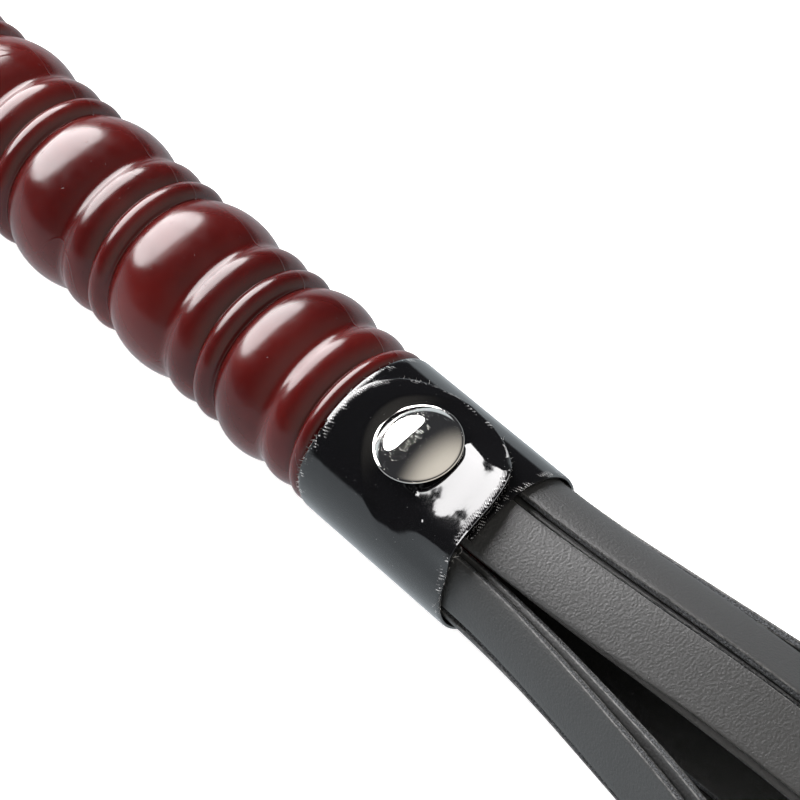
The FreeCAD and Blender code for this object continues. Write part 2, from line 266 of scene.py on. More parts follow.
def arc_radius(length, top, first, last):
    """The radius of the arc over a bead: its length, its top, and the radii that it springs from."""
    rise = top - (first + last) / 2
    return ((length**2 + (last - first) ** 2) / 4 + rise**2) / (2 * rise)


def stretches():
    """Every bead, rib and ring: start, length, radius at both ends and arc radius."""
    found, x = [], 0.0
    beads = [POMMEL_LENGTH, *[BEAD_LENGTH] * REPEATS, COLLAR_BEAD_LENGTH]
    for number, length in enumerate(beads):
        low = BUTT_FACE if number == 0 else GROOVE
        bead_arc = POMMEL_ROUND if number == 0 else arc_radius(length, BEAD, GROOVE, COVE)
        last_ring = COLLAR_RING_LENGTH if number == len(beads) - 1 else RING_LENGTH
        found.append((x, length, low, COVE, bead_arc))
        found.append((x + length, RIB_LENGTH, COVE, GROOVE, arc_radius(RIB_LENGTH, RIB, COVE, GROOVE)))
        x += length + RIB_LENGTH
        found.append((x, last_ring, GROOVE, GROOVE, arc_radius(last_ring, RING, GROOVE, GROOVE)))
        x += last_ring
    return found


# %% [markdown]
# The outline is worked out every twentieth of a millimetre and then softened: widely at a cove and
# hardly at all at a groove. The pommel's flat face gets the small round mark that the mould's gate leaves.

# %% Work out the outline
STEP = 0.05 * MM
COVE_SOFTNESS, GROOVE_SOFTNESS = 0.75 * MM, 0.13 * MM


def outline():
    """The handle's radius at every step along the axis, softened at coves and grooves."""
    parts = stretches()
    x = np.arange(0, NECK + STEP, STEP)
    radius = np.zeros_like(x)
    for start, length, first, last, arc_size in parts:
        inside = (x >= start - 1e-9) & (x <= start + length + 1e-9)
        radius[inside] = arc(x[inside], start, length, first, last, arc_size)
    coves = [start + length for start, length, _, last, _ in parts if last == COVE]
    near_cove = np.max([np.exp(-(((x - c) / (2.2 * MM)) ** 2)) for c in coves], axis=0)
    softness = GROOVE_SOFTNESS + (COVE_SOFTNESS - GROOVE_SOFTNESS) * near_cove
    soft = np.empty_like(radius)
    for n in range(len(x)):
        reach = int(3 * softness[n] / STEP) + 1
        low, high = max(n - reach, 0), min(n + reach + 1, len(x))
        weight = np.exp(-(((x[low:high] - x[n]) / softness[n]) ** 2) / 2)
        soft[n] = (radius[low:high] * weight).sum() / weight.sum()
    return x, soft


def thin_out(x, radius, tolerance=0.0015 * MM, longest=0.6 * MM):
    """The outline with only the points that its curve needs."""
    keep, start = [0], 0
    for n in range(2, len(x)):
        between = np.arange(start + 1, n)
        line = radius[start] + (radius[n] - radius[start]) * (x[between] - x[start]) / (x[n] - x[start])
        if np.abs(radius[between] - line).max() > tolerance or x[n] - x[start] > longest:
            keep.append(n - 1)
            start = n - 1
    return np.array([*keep, len(x) - 1])


fine_x, fine_radius = outline()
kept = thin_out(fine_x, fine_radius)
outline_x, outline_radius = fine_x[kept], fine_radius[kept]
print("outline points:", len(outline_x), "widest radius in mm:", round(outline_radius.max() / MM, 2))

# %% [markdown]
# The parting line is a ridge a few hundredths of a millimetre high, and higher in the grooves, where
# the mould halves wear. It needs narrow faces beside it, so the columns of faces crowd together there.

# %% Spin the handle
PARTING = (-33.0, 147.0)
RIDGE_WIDTH = 0.13 * MM
BESIDE_RIDGE = (0.15, 0.35, 0.6, 0.9, 1.3, 2)  # degrees


def columns():
    """The angles of the handle's columns of faces, closer together beside the parting lines."""
    coarse = np.arange(0, 360, 2.5)
    steps = [*[-step for step in reversed(BESIDE_RIDGE)], 0, *BESIDE_RIDGE]
    fine = [line + step for line in PARTING for step in steps]
    far = [a for a in coarse if all(abs((a - line + 180) % 360 - 180) > 2.6 for line in PARTING)]
    return np.sort(np.array([*far, *[a % 360 for a in fine]]))


def ridge(angle, radius):
    """How far the parting line lifts the surface at an angle."""
    depth = np.clip((BEAD - radius) / (BEAD - GROOVE), 0, 1)
    height = (0.018 + 0.12 * depth**3) * MM
    total = np.zeros_like(radius)
    for line in PARTING:
        away = math.radians((angle - line + 180) % 360 - 180) * radius
        total = total + height * np.exp(-((away / RIDGE_WIDTH) ** 2))
    return np.minimum(total, BEAD - radius)


def spin_handle():
    """The whole moulding, from the gate mark on the butt to the end of the spigot."""
    spigot, shoulder = 11.0 * MM, 14.3 * MM
    gate_mark = [(0.35 * MM, 0.4 * MM), (0.35 * MM, 2.4 * MM), (0.12 * MM, 2.7 * MM)]
    butt = [*gate_mark, (0, 3.1 * MM), (0, 6 * MM), (0, 7.8 * MM)]
    neck = [(NECK + 0.02 * MM, shoulder), (NECK + 4 * MM, shoulder), (NECK + 4.02 * MM, spigot)]
    neck += [(NECK + 16 * MM, spigot), (MOUTH - 4.3 * MM, spigot), (MOUTH - 4 * MM, spigot - 0.3 * MM)]
    neck += [(MOUTH - 4 * MM, 2 * MM)]
    x = np.array([p[0] for p in butt] + list(outline_x) + [p[0] for p in neck])
    radius = np.array([p[1] for p in butt] + list(outline_radius) + [p[1] for p in neck])
    angles = columns()
    moulded = slice(len(butt), len(butt) + len(outline_x))
    rings = np.zeros((len(x), len(angles), 3))
    for n, angle in enumerate(angles):
        grown = radius.copy()
        grown[moulded] += ridge(angle, radius[moulded])
        rings[:, n, 0] = x
        rings[:, n, 1:] = grown[:, None] * radial(angle)[1:]
    around = np.append(angles, 360 + angles[0]) * math.pi / 180 * BEAD / MM
    return loft("handle", rings, x / MM, around)


handle = spin_handle()
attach(handle, BODY_OF["handle"])
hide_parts("handle")
print("handle faces:", len(handle.data.polygons))

# %% [markdown]
# The plastic is a deep maroon with a high gloss. Three things keep it from looking like paint: the
# colour drifts a little, as pigment does in a moulding; the gloss is uneven; and fine flow lines and
# pits mark the skin. The flow lines are the contours of a slow noise, kept only in a few places.


# %% The moulded plastic
def moulded_plastic():
    material, tree, shader = new_material("moulded_plastic")
    place = add(tree, "TexCoord").outputs["Object"]
    drift = ramp(tree, noise(tree, place, 55.0, 3.0), 0.3, 0.7)
    colour = blend_colours(tree, drift, (0.047, 0.0034, 0.0032, 1), (0.075, 0.0060, 0.0052, 1))
    slow = noise(tree, place, 42.0, 1.0)
    contour = maths(tree, "ABSOLUTE", maths(tree, "SUBTRACT", slow, 0.52))
    line = ramp(tree, contour, 0.0, 0.006, 1.0, 0.0)
    where = ramp(tree, noise(tree, place, 28.0, 1.0), 0.52, 0.6)
    flow = maths(tree, "MULTIPLY", line, where)
    pits = ramp(tree, noise(tree, place, 1300.0, 2.0), 0.72, 0.78)
    wave = noise(tree, place, 120.0, 2.0)
    normal = bump(tree, wave, 0.00006)
    normal = bump(tree, flow, 0.00004, normal)
    normal = bump(tree, pits, -0.00003, normal)
    gloss = ramp(tree, noise(tree, place, 350.0, 4.0), 0.3, 0.75, 0.17, 0.27)
    fill(tree, shader, {"Base Color": colour, "Roughness": gloss, "Normal": normal})
    fill(tree, shader, {"IOR": 1.45, "Subsurface Weight": 0.1, "Subsurface Scale": 0.0015})
    return material


plastic = moulded_plastic()
dress(handle, plastic)
print("material:", plastic.name)

# %% [markdown]
# ## The band
# The band is one strip of patent material, wrapped a turn and a fifth round the neck. It starts under
# itself, climbs over its own start on the near side, and ends on top in a half-round tongue. A
# cylinder would lose the lap and the tongue. We loft the strip's real outline, six tenths of a
# millimetre thick with softened edges, along the wrap, and press it in where the rivet pulls it down.

# %% Sizes of the wrap
BAND_INSIDE, BAND_THICK = 14.5 * MM, 0.6 * MM
LAYER_GAP = 0.05 * MM
LAP_START, LAP_TIP = 35.0, -37.0
CLIMB_FROM, CLIMB_OVER = 288, 62.0
LAST_TURN = 360 + LAP_START - LAP_TIP
TONGUE_HALF = (band_high.x - band_low.x) / 2 - 0.6 * MM
TONGUE_TOP = BAND_INSIDE + 2 * BAND_THICK
FACING = LAP_TIP + math.degrees(TONGUE_HALF / TONGUE_TOP) / 2
BAND_MIDDLE = (NECK + MOUTH) / 2
cap_low, cap_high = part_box("rivet_cap")
RIVET_ANGLE = 11.2
RIVET_X = (cap_low.x + cap_high.x) / 2
RIVET_SEAT = BAND_INSIDE + 2 * BAND_THICK - 0.85 * MM
CAP_RADIUS = (cap_high.x - cap_low.x) / 2
print("tongue half width in mm:", round(TONGUE_HALF / MM, 2), "rivet at", round(RIVET_X / MM, 1))


def tongue_place(angle):
    """How far an angle is along the tongue, from the middle of its round end."""
    centre = TONGUE_TOP * math.sin(math.radians(FACING - LAP_TIP)) - TONGUE_HALF
    return -TONGUE_TOP * math.sin(math.radians(angle - FACING)) - centre


def half_width(turn):
    """Half the strip's width at a turn of the wrap."""
    full = (MOUTH - NECK) / 2
    angle = LAP_START - turn + 360
    if angle > 80:
        return full
    past = tongue_place(angle)
    if past <= 0:
        return full - 0.6 * MM * float(ease((80 - angle) / 45))
    return math.sqrt(max(TONGUE_HALF**2 - past**2, 0.0))


# %% [markdown]
# The rivet pulls the strip into a hollow, which leaves a sharp little pucker beside it. Past the
# rivet the loose end of the tongue curls up a little towards the mouth. All three are small, but they
# tilt the lacquer, and the tilt decides what it reflects.


# %% Press the rivet's hollow
SEAT_DEPTH, UNDER_DEPTH, EDGE_DEPTH = 0.95 * MM, 0.50 * MM, 0.80 * MM
DIMPLE_BEHIND, DIMPLE_AHEAD = 2.4 * MM, 9 * MM
CREASE_DEPTH, CREASE_WIDTH, RIPPLE_DEPTH = 0.20 * MM, 0.24 * MM, 0.035 * MM
CURL_START, CURL_SLOPE = 5 * MM, 0.175


def rivet_offset(x, turn):
    """Where a point of the tongue is from the rivet's middle: along the handle and round it."""
    angle = LAP_START - turn % 360
    return x - RIVET_X, -math.radians((angle - RIVET_ANGLE + 180) % 360 - 180) * TONGUE_TOP


def hollow(x, turn):
    """How far the rivet has pulled the strip in, from 0 to 1: a tight dimple behind it, a long one ahead."""
    along, across = rivet_offset(x, turn)
    ahead = float(ease((along / CAP_RADIUS + 1) / 2))
    reach = DIMPLE_BEHIND + (DIMPLE_AHEAD - DIMPLE_BEHIND) * ahead
    away = max(math.hypot(min(along, CURL_START), across * 0.9) - CAP_RADIUS * 0.9, 0) / reach
    return max(1 - away, 0.0) ** 1.15


def crease(x, turn):
    """The depth of the little pucker beside the rivet, and a slow ripple round it."""
    along, across = rivet_offset(x, turn)
    line = across + 6.6 * MM + 0.50 * (along - 5 * MM) + 0.16 * MM * math.sin(along / (0.42 * MM))
    on_line = float(ease((along - 1.5 * MM) / (2.5 * MM)) * ease((9.5 * MM - along) / (0.8 * MM)))
    away = math.hypot(along, across)
    fading = math.exp(-(((away - 10 * MM) / (3.5 * MM)) ** 2))
    ripple = RIPPLE_DEPTH * math.sin(away / (1.1 * MM) + 2.2 * across / MM / 6) * fading
    return CREASE_DEPTH * math.exp(-((line / CREASE_WIDTH) ** 2)) * on_line + ripple


def curl(x, turn):
    """How far the loose end of the tongue lifts towards the mouth."""
    along, across = rivet_offset(x, turn)
    edge = 11 * MM if across > 0 else 16 * MM
    wide = float(ease((edge - abs(across)) / (6 * MM)))
    return CURL_SLOPE * max(along - CURL_START, 0) * wide * float(ease((turn - 325) / 30))


def edge_lift(x, turn, over):
    """How far a cut edge of the strip moves with the hollow and the curl."""
    return curl(x, turn) - over * EDGE_DEPTH * hollow(x, turn)


def wrap_turns():
    """The turns of the strip's stations, close together on the tongue."""
    plain = np.arange(0, 300, 4.0)
    lap = np.arange(300, 374, 1.0)
    tip = LAST_TURN - (LAST_TURN - 374) * (1 - np.sin(np.linspace(0, math.pi / 2, 64)))
    return np.concatenate([plain, lap, tip])


# %% [markdown]
# Each ring of the loft goes across the outer face, round one softened edge, back along the lining
# and round the other edge. Each point also keeps its distance to the nearest cut edge as a named
# value, because the weave of the backing shows through near the cuts.

# %% Wrap the band
NEAR_EDGE = np.linspace(0.86, 1, 8)
ACROSS = np.concatenate([-NEAR_EDGE[:0:-1], np.linspace(-0.86, 0.86, 66), NEAR_EDGE[1:]])
LINING = np.linspace(1, -1, 14)


def band_ring(turn):
    """The strip's cross-section at a turn, and each point's distance from the nearest cut edge."""
    angle = LAP_START - turn
    climb = (BAND_THICK + LAYER_GAP) * float(ease((turn - CLIMB_FROM) / CLIMB_OVER))
    inner, outer = BAND_INSIDE + climb, BAND_INSIDE + climb + BAND_THICK
    out, half = radial(angle), max(half_width(turn), 0.02 * MM)
    to_tip = (LAST_TURN - turn) * math.pi / 180 * TONGUE_TOP
    ring, edge = [], []
    flat = half - 0.14 * MM if half > 0.5 * MM else half * 0.7
    over = float(ease((turn - 300) / 25))
    under = float(ease((100 - turn) / 25))
    for share in ACROSS:
        x = BAND_MIDDLE + share * flat
        away = min(flat * (1 - abs(share)), to_tip)
        pressed = over * SEAT_DEPTH + under * UNDER_DEPTH
        sag = pressed * hollow(x, turn) + over * crease(x, turn)
        round_off = 0.08 * MM * math.exp(-away / (0.16 * MM)) - curl(x, turn)
        ring.append([x, *(out * (outer - sag - round_off))[1:]])
        edge.append(away)
    for rise, reach in ((0.78, 0.75), (0.5, 1.0), (0.22, 0.75)):
        x = BAND_MIDDLE + flat + (half - flat) * reach
        ring.append([x, *(out * (inner + rise * BAND_THICK + edge_lift(x, turn, over)))[1:]])
        edge.append(0.0)
    for share in LINING:
        x = BAND_MIDDLE + share * flat
        lift = curl(x, turn) - over * UNDER_DEPTH * hollow(x, turn)
        ring.append([x, *(out * (inner + 0.02 * MM + lift))[1:]])
        edge.append(3 * MM)
    for rise, reach in ((0.22, 0.75), (0.5, 1.0), (0.78, 0.75)):
        x = BAND_MIDDLE - flat - (half - flat) * reach
        ring.append([x, *(out * (inner + rise * BAND_THICK + edge_lift(x, turn, over)))[1:]])
        edge.append(0.0)
    return ring, edge


def wrap_band():
    """The whole strip, with the distance to its cut edges as a named value on its points."""
    turns = wrap_turns()
    made = [band_ring(turn) for turn in turns]
    rings = np.array([ring for ring, _ in made])
    edges = np.array([edge for _, edge in made])
    along = turns * math.pi / 180 * TONGUE_TOP / MM
    around = np.append(rings[80, :, 0], rings[80, 0, 0]) / MM
    band = loft("collar_band", rings, along, around)
    values = band.data.attributes.new("from_cut", "FLOAT", "POINT")
    values.data.foreach_set("value", (edges / MM).astype(np.float32).ravel())
    return band


band = wrap_band()
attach(band, BODY_OF["collar_band"])
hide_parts("collar_band")
print("band faces:", len(band.data.polygons))

# %% [markdown]
# Patent material is a black lacquer on cloth. The lacquer gives near-mirror reflections that wobble
# a little. Within two millimetres of a cut the cloth presses through in rows. Pale flecks are
# painted on the rows as glints off the weave bumps. The rows follow the distance from the cut.


# %% The patent lacquer
def patent_lacquer():
    material, tree, shader = new_material("patent_lacquer")
    place = add(tree, "TexCoord").outputs["Object"]
    surface = add(tree, "UVMap", uv_map="map").outputs[0]
    from_cut = add(tree, "Attribute", attribute_name="from_cut").outputs["Fac"]
    ragged = noise(tree, place, 420.0, 3.0)
    near = ramp(tree, maths(tree, "ADD", from_cut, maths(tree, "MULTIPLY", ragged, 1.5)), 1.2, 2.2, 1.0, 0.0)
    run = add(tree, "SeparateXYZ", {0: surface}).outputs[0]
    side = maths(tree, "MULTIPLY", add(tree, "SeparateXYZ", {0: place}).outputs[0], 800.0)
    length = maths(tree, "ADD", run, side)
    rows = maths(tree, "SINE", maths(tree, "MULTIPLY", from_cut, 2 * math.pi / 0.46))
    threads = maths(tree, "SINE", maths(tree, "MULTIPLY", length, 2 * math.pi / 0.56))
    weave = maths(tree, "MULTIPLY", rows, threads)
    # Painted glints: pale flecks on the weave rows near the cuts, in patches set by a noise, stand in for the
    # light that the weave bumps catch. The faint specks mixed in with them are dust.
    glint_patches = ramp(tree, noise(tree, place, 620.0, 2.0), 0.50, 0.55)
    near = maths(tree, "MULTIPLY", near, ramp(tree, from_cut, 0.06, 0.16))
    painted_glints = maths(tree, "MULTIPLY", maths(tree, "MULTIPLY", ramp(tree, weave, 0.5, 0.62), near), glint_patches)
    dust = ramp(tree, noise(tree, place, 2600.0, 2.0), 0.76, 0.79, 0.0, 0.3)
    glints_and_dust = maths(tree, "MAXIMUM", painted_glints, dust)
    colour = blend_colours(tree, glints_and_dust, (0.0035, 0.0035, 0.0040, 1), (0.75, 0.75, 0.76, 1))
    wobble = noise(tree, place, 190.0, 3.0, 0.45)
    normal = bump(tree, wobble, 0.00005)
    normal = bump(tree, maths(tree, "MULTIPLY", weave, near), 0.000008, normal)
    gloss = ramp(tree, maths(tree, "ADD", near, ragged), 0.3, 1.8, 0.06, 0.15)
    fill(tree, shader, {"Base Color": colour, "Roughness": gloss, "Normal": normal, "IOR": 1.68})
    return material


lacquer = patent_lacquer()
dress(band, lacquer)
print("material:", lacquer.name)

# %% [markdown]
# Tiny fibres stand out of the cut edges. Each is a short bent hair, thinner than a tenth of a
# millimetre. A tube helper sweeps a small polygon along a path, and the thread windings further on
# use it as well.


# %% The tube helper
def tube_points(path, radius, sides):
    """Rings of points round a path, thinning to nothing at the last point if radius is a list."""
    path = np.asarray(path, float)
    radii = np.broadcast_to(np.asarray(radius, float), (len(path),))
    direction = np.gradient(path, axis=0)
    direction /= np.linalg.norm(direction, axis=1)[:, None]
    helper = np.where(np.abs(direction[:, :1]) < 0.9, [[1.0, 0.0, 0.0]], [[0.0, 0.0, 1.0]])
    side = np.cross(direction, helper)
    side /= np.linalg.norm(side, axis=1)[:, None]
    other = np.cross(direction, side)
    turn = np.arange(sides) * 2 * math.pi / sides
    ring = side[:, None] * np.cos(turn)[None, :, None] + other[:, None] * np.sin(turn)[None, :, None]
    return path[:, None] + ring * radii[:, None, None]


def tubes(name, paths, radius, sides):
    """Many tubes as one mesh object."""
    points, faces = [], []
    for path, size in zip(paths, radius):
        rings = tube_points(path, size, sides)
        first = len(points)
        points += rings.reshape(-1, 3).tolist()
        for i in range(len(rings) - 1):
            for j in range(sides):
                a, b = first + i * sides + j, first + i * sides + (j + 1) % sides
                faces.append([a, b, b + sides, a + sides])
        faces.append([first + n for n in reversed(range(sides))])
        faces.append([first + (len(rings) - 1) * sides + n for n in range(sides)])
    return make_mesh(name, points, faces)


# %% [markdown]
# The fibres are sown along the outer cut edges with a fixed seed, so that every run grows the same
# ones. Most are under a millimetre long. A few long ones curl up off the tongue.

# %% Sow the fibres
fibre_dice = np.random.default_rng(7)


def edge_point(turn, side):
    """A point on the strip's cut edge, and the direction out of the edge."""
    climb = (BAND_THICK + LAYER_GAP) * float(ease((turn - CLIMB_FROM) / CLIMB_OVER))
    half = half_width(turn)
    angle = LAP_START - turn
    where = radial(angle) * (BAND_INSIDE + climb + BAND_THICK * fibre_dice.uniform(0.6, 0.95))
    where[0] = BAND_MIDDLE + side * half
    before = half_width(turn - 1)
    lean = (before - half) / (math.pi / 180 * TONGUE_TOP)
    out = np.array([side, 0, 0]) + lean * tangent(angle)
    return where, out / np.linalg.norm(out), radial(angle)


def fibre(turn, side, length):
    """One bent hair, from the cut edge outwards."""
    start, out, up = edge_point(turn, side)
    sideways = np.cross(out, up) * fibre_dice.uniform(-1.4, 1.4)
    path, at = [], start - out * 0.1 * MM
    heading = out * 0.6 + sideways + up * fibre_dice.uniform(0.1, 0.9)
    for _ in range(6):
        path.append(at)
        heading = heading / np.linalg.norm(heading) + fibre_dice.normal(0, 0.28, 3)
        at = at + heading / np.linalg.norm(heading) * length / 5
    return path


paths, thickness = [], []
for number in range(230):
    turn = fibre_dice.uniform(300, LAST_TURN - 0.6) if number % 3 else fibre_dice.uniform(20, 380)
    length = fibre_dice.uniform(0.25, 0.8) if number % 23 else fibre_dice.uniform(1.5, 2.8)
    paths.append(fibre(turn, 1 if fibre_dice.random() < 0.5 else -1, length * MM))
    size = fibre_dice.uniform(0.012, 0.026) * MM
    thickness.append(np.linspace(size, size * 0.4, 6))
fibres = tubes("band_fibres", paths, thickness, 4)
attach(fibres, BODY_OF["collar_band"])


def frayed_cotton():
    material, tree, shader = new_material("frayed_cotton")
    place = add(tree, "TexCoord").outputs["Object"]
    shade = ramp(tree, noise(tree, place, 500.0, 2.0), 0.35, 0.6)
    colour = blend_colours(tree, shade, (0.10, 0.10, 0.10, 1), (0.62, 0.61, 0.60, 1))
    fill(tree, shader, {"Base Color": colour, "Roughness": 0.85})
    return material


dress(fibres, frayed_cotton())
print("fibres:", len(paths))

# %% [markdown]
# ## The rivet
# The cap is a thin pressed dome with a rolled rim. A sphere would miss the rim, and the rim is what
# draws the bright line round the dome. We turn a small outline about the rivet's own axis: over the
# dome, round the lip, and back inside the shell.


# %% Turn the rivet cap
CAP_LEAN = (-0.07, 0.05)  # a hand-set cap never sits quite square


def cap_outline():
    """The cap's outline from the top of the dome, round the lip, to the inside of the shell."""
    rise, wall, lip = 3.25 * MM, 0.5 * MM, 0.22 * MM
    dome = (CAP_RADIUS**2 + rise**2) / (2 * rise)
    points = []
    for share in np.linspace(0.002, 1, 40):
        out = share * (CAP_RADIUS - 0.42 * MM)
        points.append((out, rise - dome + math.sqrt(dome**2 - out**2)))
    edge, height = CAP_RADIUS - lip, 0.16 * MM
    for turn in np.linspace(100, -110, 12):
        angle = math.radians(turn)
        points.append((edge + lip * math.cos(angle), height + lip * math.sin(angle)))
    for share in np.linspace(1, 0.002, 14):
        out = share * (CAP_RADIUS - 0.75 * MM)
        points.append((out, rise - dome - wall + math.sqrt(dome**2 - out**2)))
    return points


def turn_cap():
    """The cap about its own axis, its rim on the band."""
    points = cap_outline()
    seat = np.array([RIVET_X, 0, 0]) + radial(RIVET_ANGLE) * (RIVET_SEAT + 0.15 * MM)
    up = radial(RIVET_ANGLE) + CAP_LEAN[0] * np.array([1.0, 0, 0]) + CAP_LEAN[1] * tangent(RIVET_ANGLE)
    up /= np.linalg.norm(up)
    ahead = np.cross(tangent(RIVET_ANGLE), up)
    across = np.cross(up, ahead)
    rings = []
    for out, height in points:
        turns = np.arange(96) * 2 * math.pi / 96
        rings.append([seat + up * height + out * (ahead * math.cos(t) + across * math.sin(t)) for t in turns])
    along = np.cumsum([0, *[math.dist(a, b) for a, b in zip(points, points[1:])]]) / MM
    return loft("rivet_cap", rings, along, np.linspace(0, 2 * math.pi * CAP_RADIUS / MM, 97))


cap = turn_cap()
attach(cap, BODY_OF["rivet_cap"])
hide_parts("rivet_cap")


def polished_nickel():
    material, tree, shader = new_material("polished_nickel")
    place = add(tree, "TexCoord").outputs["Object"]
    haze = noise(tree, place, 260.0, 4.0)
    colour = blend_colours(tree, haze, (0.80, 0.775, 0.74, 1), (0.90, 0.88, 0.85, 1))
    stretched = add(tree, "Mapping", {"Vector": place, "Scale": (1, 14, 14), "Rotation": (0, 0, 0.7)})
    scratches = ramp(tree, noise(tree, stretched.outputs[0], 700.0, 2.0), 0.66, 0.72)
    hazed = ramp(tree, haze, 0.3, 0.8, 0.035, 0.075)
    gloss = maths(tree, "ADD", hazed, maths(tree, "MULTIPLY", scratches, 0.08))
    normal = bump(tree, scratches, -0.000004)
    fill(tree, shader, {"Base Color": colour, "Metallic": 1.0, "Roughness": gloss, "Normal": normal})
    return material


nickel = polished_nickel()
dress(cap, nickel)
print("cap faces:", len(cap.data.polygons))

# %% [markdown]
# Under the cap sits the nail that holds it. Its CAD shape is already right, so it only gets a
# better finish: drawn steel wire, with fine rings round the shank.


# %% Finish the nail
def drawn_steel():
    material, tree, shader = new_material("drawn_steel")
    place = add(tree, "TexCoord").outputs["Object"]
    rings = add(tree, "Mapping", {"Vector": place, "Scale": (40, 40, 1200)}).outputs[0]
    drawn = noise(tree, rings, 3.0, 3.0)
    colour = blend_colours(tree, drawn, (0.42, 0.42, 0.43, 1), (0.58, 0.57, 0.56, 1))
    gloss = ramp(tree, drawn, 0.2, 0.8, 0.28, 0.48)
    fill(tree, shader, {"Base Color": colour, "Metallic": 1.0, "Roughness": gloss})
    fill(tree, shader, {"Normal": bump(tree, drawn, 0.00001)})
    return material


dress(frame["nodes"]["rivet_nail"], drawn_steel())
print("nail dressed")

# %% [markdown]
# ## The straps
# Seven pairs of flat straps leave the mouth in a ring, an inner strap under each outer one. Close to
# the mouth each is bent to the ring's curve. Further out it flattens, sinks to the table, turns to
# lie flat, and fans out. Cloth simulation could lay them, but it would lose the order in which they
# leave the mouth, so they follow the CAD model's own path. Each row of the list below says how a pair
# settles: its drift beside the mouth and in the fan, in strap widths for each metre, and how far the
# inner strap lies off the outer one, in strap widths.

# %% Sizes of the straps
FALLS = 7
FALL_WIDTH, FALL_THICK = 10.0 * MM, 1.3 * MM
FALL_REACH, ROOT_LENGTH = 398 * MM, 27.5 * MM
INNER_RADIUS, OUTER_RADIUS = 11.75 * MM, 13.45 * MM
FIRST_ANGLE = 19.0
LANDING, LANDING_SHARE, SINKING, TABLE_GAP = 200 * MM, 0.25, 1.3, 0.05 * MM
TWIST_START, TWIST_LENGTH, OFFSET_LENGTH = 45 * MM, 145 * MM, 60 * MM
LEAVING, FAN_START, FAN_LENGTH = 15 * MM, 40 * MM, 80 * MM
FLATTENING, FLATTEST = 50 * MM, 0.985
SETTLING = [
    (13.0, 4.549, -0.10),
    (-13.0, -20.886, 0.20),
    (-12.0, -8.617, 0.10),
    (3.0, -6.665, -0.25),
    (10.0, 15.109, 0.05),
    (13.0, 23.736, 0.10),
    (10.0, 9.106, 0.03),
]


def pair_depth(angle, offset):
    """How far a pair reaches below its middle when it faces out at an angle."""
    turn = math.radians(angle)
    thick = OUTER_RADIUS - INNER_RADIUS + FALL_THICK
    lift = max(-offset * math.sin(turn), 0.0)
    return FALL_WIDTH / 2 * abs(math.sin(turn)) + thick / 2 * abs(math.cos(turn)) + lift


def pair_place(place, along):
    """The middle of a pair, the angle it faces and the inner strap's offset, at a distance from the mouth."""
    angle = FIRST_ANGLE + place * 360 / FALLS
    slope, fan, offset = (share * FALL_WIDTH for share in SETTLING[place])
    start = radial(angle) * (INNER_RADIUS + OUTER_RADIUS) / 2
    height = start[2] - TABLE - pair_depth(angle, 0)
    highest = (INNER_RADIUS + OUTER_RADIUS) / 2 - TABLE
    landing = LANDING * (max(height, MM) / highest) ** LANDING_SHARE
    twist = float(ease((along - TWIST_START) / TWIST_LENGTH))
    facing = angle + (180 * round(angle / 180) - angle) * twist
    offset *= float(ease(along / OFFSET_LENGTH))
    ahead = max(along, 0)
    drop = float(ease((ahead / landing) ** SINKING))
    low = height * (1 - drop) + TABLE_GAP * drop
    sloping = slope * (ahead - LEAVING * (1 - math.exp(-ahead / LEAVING)))
    y = start[1] + sloping + (fan * ahead - sloping) * float(ease((ahead - FAN_START) / FAN_LENGTH))
    return np.array([0, y, TABLE + low + pair_depth(facing, offset)]), facing, offset


# %% [markdown]
# A strap's cross-section has a grained face, a lining face, and two cut edges where the knitted
# backing shows as two rows of small loops. The loops are real bumps on the part of the strap that is
# near the mouth. The map runs once round the section, so the material knows a face from an edge.

# %% The strap's section
HALF = FALL_THICK / 2
FACE_SHARES = (-0.965, -0.8, -0.45, 0.0, 0.45, 0.8, 0.965)
EDGE_STEPS = ((0.992, 0.88), (1.0, 0.62), (0.996, 0.28), (0.996, -0.28), (1.0, -0.62), (0.992, -0.88))
LOOP_PITCH, LOOP_HEIGHT = 0.66 * MM, 0.11 * MM
SECTION = [(share, 1.0, 0) for share in FACE_SHARES]
SECTION += [(share, rise, 1) for share, rise in EDGE_STEPS]
SECTION += [(share, -1.0, 0) for share in (0.965, 0.4, -0.4, -0.965)]
SECTION += [(-share, -rise, -1) for share, rise in EDGE_STEPS]


def section_map():
    """The distance round the section of each of its points, in millimetres, from the first point."""
    flat = [(share * FALL_WIDTH / 2, rise * HALF) for share, rise, _ in SECTION]
    steps = [math.dist(a, b) for a, b in zip(flat, [*flat[1:], flat[0]])]
    return np.concatenate([[0], np.cumsum(steps)]) / MM


def strap_ring(place, ring, along, wobble):
    """The points round a strap at a distance from the mouth."""
    middle, facing, offset = pair_place(place, along)
    gap = (OUTER_RADIUS - INNER_RADIUS) / 2
    out, across = radial(facing), tangent(facing)
    if ring == "outer":
        middle, radius, offset = middle + out * gap, OUTER_RADIUS, 0
    else:
        middle, radius = middle - out * gap, INNER_RADIUS
    radius = radius / (1 - FLATTEST * float(ease(along / FLATTENING)))
    points = []
    for share, rise, edge in SECTION:
        width = share * FALL_WIDTH / 2
        if edge and abs(rise) < 0.5:
            phase = along / LOOP_PITCH + (0.5 if rise > 0 else 0)
            width += edge * LOOP_HEIGHT * (0.5 * math.cos(2 * math.pi * phase) - 0.3)
        width += wobble
        turn, lift = width / radius, rise * HALF
        lifted = out * ((radius + lift) * math.cos(turn) - radius)
        points.append(middle + across * ((radius + lift) * math.sin(turn) + offset) + lifted)
    points = np.array(points)
    points[:, 0] = MOUTH + along
    return points
